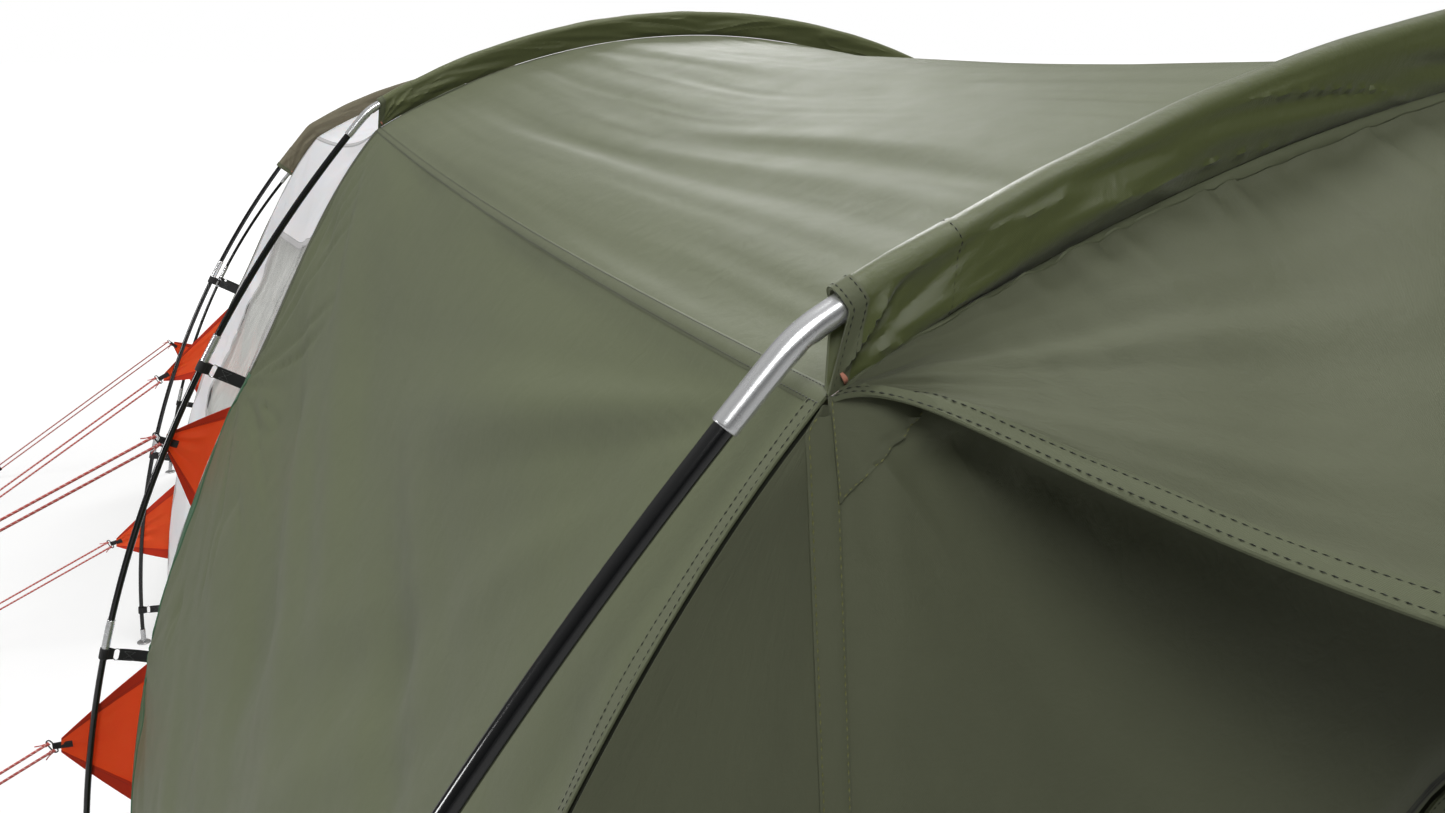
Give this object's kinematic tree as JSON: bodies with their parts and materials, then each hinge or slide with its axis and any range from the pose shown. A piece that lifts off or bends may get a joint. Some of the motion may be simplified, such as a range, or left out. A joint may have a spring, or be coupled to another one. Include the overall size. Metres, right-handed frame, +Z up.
{
  "type": "family tunnel tent",
  "caption": "Family tunnel tent on fibreglass hoops, with sleeves over the roof poles, hooded front end, zipped door, inner bedroom and doubled guy lines.",
  "frame": {"origin": "on the ground, at the middle of the tent's length and width", "axes": "+Z up, +Y from the hooded front end to the rear end, +X to the right when looking from the front to the rear"},
  "size_m": [4.2438, 6.5312, 2.0505],
  "materials": {
    "pole_fibreglass": "gloss black fibreglass tube",
    "ferrule_metal": "drawn metal, satin",
    "sleeve_fabric": "coated polyester, olive green",
    "roof_green": "coated polyester, light olive",
    "wall_green": "coated polyester, olive green",
    "wall_grey": "coated polyester, pale grey",
    "window_film": "tinted flexible film",
    "visor_green": "coated polyester, olive green",
    "zip_tape": "woven zip tape and coil",
    "zip_metal": "dark metal",
    "groundsheet": "heavy coated polyethylene",
    "bedroom_fabric": "breathable polyester",
    "webbing_black": "woven webbing",
    "ring_black": "moulded ring",
    "foot_steel": "plated steel",
    "flap_red": "coated polyester, orange red",
    "guy_cord": "braided cord, red",
    "runner_plastic": "moulded"
  },
  "bodies": {
    "tent": {"poles_hoop_1": "pole_fibreglass", "poles_hoop_2": "pole_fibreglass", "poles_hoop_3": "pole_fibreglass", "poles_hoop_4": "pole_fibreglass", "fittings_hoop_1": "ferrule_metal", "fittings_hoop_2": "ferrule_metal", "fittings_hoop_3": "ferrule_metal", "fittings_hoop_4": "ferrule_metal", "sleeve_hoop_1": "sleeve_fabric", "sleeve_hoop_2": "sleeve_fabric", "sleeve_hoop_3": "sleeve_fabric", "sleeve_hoop_4": "sleeve_fabric", "roof_front": "roof_green", "roof_middle": "roof_green", "roof_rear": "roof_green", "side_front_left": "wall_green", "side_middle_left": "wall_grey", "side_rear_left": "wall_green", "window_left": "window_film", "side_front_right": "wall_green", "side_middle_right": "wall_grey", "side_rear_right": "wall_green", "window_right": "window_film", "visor": "visor_green", "front_wall": "wall_green", "front_gussets": "wall_green", "door_zip": "zip_tape", "rear_wall": "wall_green", "living_groundsheet": "groundsheet", "bedroom_floor": "groundsheet", "bedroom_tent": "bedroom_fabric", "bedroom_front": "bedroom_fabric", "bedroom_back": "bedroom_fabric", "leg_straps": "webbing_black", "strap_rings": "ring_black", "foot_pins": "foot_steel", "guy_flaps": "flap_red", "guy_line_1_left": "guy_cord", "guy_line_1_right": "guy_cord", "guy_line_2_left": "guy_cord", "guy_line_2_right": "guy_cord", "guy_line_3_left": "guy_cord", "guy_line_3_right": "guy_cord", "guy_line_4_left": "guy_cord", "guy_line_4_right": "guy_cord", "guy_line_5_left": "guy_cord", "guy_line_5_right": "guy_cord"},
    "front_door": {"front_door": "wall_green"},
    "door_zip_slider": {"door_zip_slider": "zip_metal"},
    "runner_1_left": {"runner_1_left": "runner_plastic"},
    "runner_1_right": {"runner_1_right": "runner_plastic"},
    "runner_2_left": {"runner_2_left": "runner_plastic"},
    "runner_2_right": {"runner_2_right": "runner_plastic"},
    "runner_3_left": {"runner_3_left": "runner_plastic"},
    "runner_3_right": {"runner_3_right": "runner_plastic"},
    "runner_4_left": {"runner_4_left": "runner_plastic"},
    "runner_4_right": {"runner_4_right": "runner_plastic"},
    "runner_5_left": {"runner_5_left": "runner_plastic"},
    "runner_5_right": {"runner_5_right": "runner_plastic"}
  },
  "joints": [
    {"name": "front_door_hinge", "type": "hinge", "parent": "tent", "child": "front_door", "pos_m": [0.3165, -2.97631, 0.84194], "axis": [0, 0.1392, 0.9903], "range_deg": [0, 105]},
    {"name": "door_zip_slide", "type": "slide", "parent": "tent", "child": "door_zip_slider", "axis": [0, 0.1392, 0.9903], "range_m": [0, 1.18]},
    {"name": "runner_1_left_slide", "type": "slide", "parent": "tent", "child": "runner_1_left", "axis": [0.8684, -0.189, 0.4585], "range_m": [-0.025, 0.4]},
    {"name": "runner_1_right_slide", "type": "slide", "parent": "tent", "child": "runner_1_right", "axis": [-0.8684, -0.189, 0.4585], "range_m": [-0.025, 0.4]},
    {"name": "runner_2_left_slide", "type": "slide", "parent": "tent", "child": "runner_2_left", "axis": [0.8398, -0.1847, 0.5106], "range_m": [-0.025, 0.14]},
    {"name": "runner_2_right_slide", "type": "slide", "parent": "tent", "child": "runner_2_right", "axis": [-0.8398, -0.1847, 0.5106], "range_m": [-0.025, 0.14]},
    {"name": "runner_3_left_slide", "type": "slide", "parent": "tent", "child": "runner_3_left", "axis": [0.8107, -0.1607, 0.563], "range_m": [-0.025, 0.6]},
    {"name": "runner_3_right_slide", "type": "slide", "parent": "tent", "child": "runner_3_right", "axis": [-0.8107, -0.1607, 0.563], "range_m": [-0.025, 0.6]},
    {"name": "runner_4_left_slide", "type": "slide", "parent": "tent", "child": "runner_4_left", "axis": [0.8607, -0.1859, 0.4739], "range_m": [-0.025, 0.45]},
    {"name": "runner_4_right_slide", "type": "slide", "parent": "tent", "child": "runner_4_right", "axis": [-0.8607, -0.1859, 0.4739], "range_m": [-0.025, 0.45]},
    {"name": "runner_5_left_slide", "type": "slide", "parent": "tent", "child": "runner_5_left", "axis": [0.8057, -0.1672, 0.5682], "range_m": [-0.025, 0.85]},
    {"name": "runner_5_right_slide", "type": "slide", "parent": "tent", "child": "runner_5_right", "axis": [-0.8057, -0.1672, 0.5682], "range_m": [-0.025, 0.85]}
  ]
}
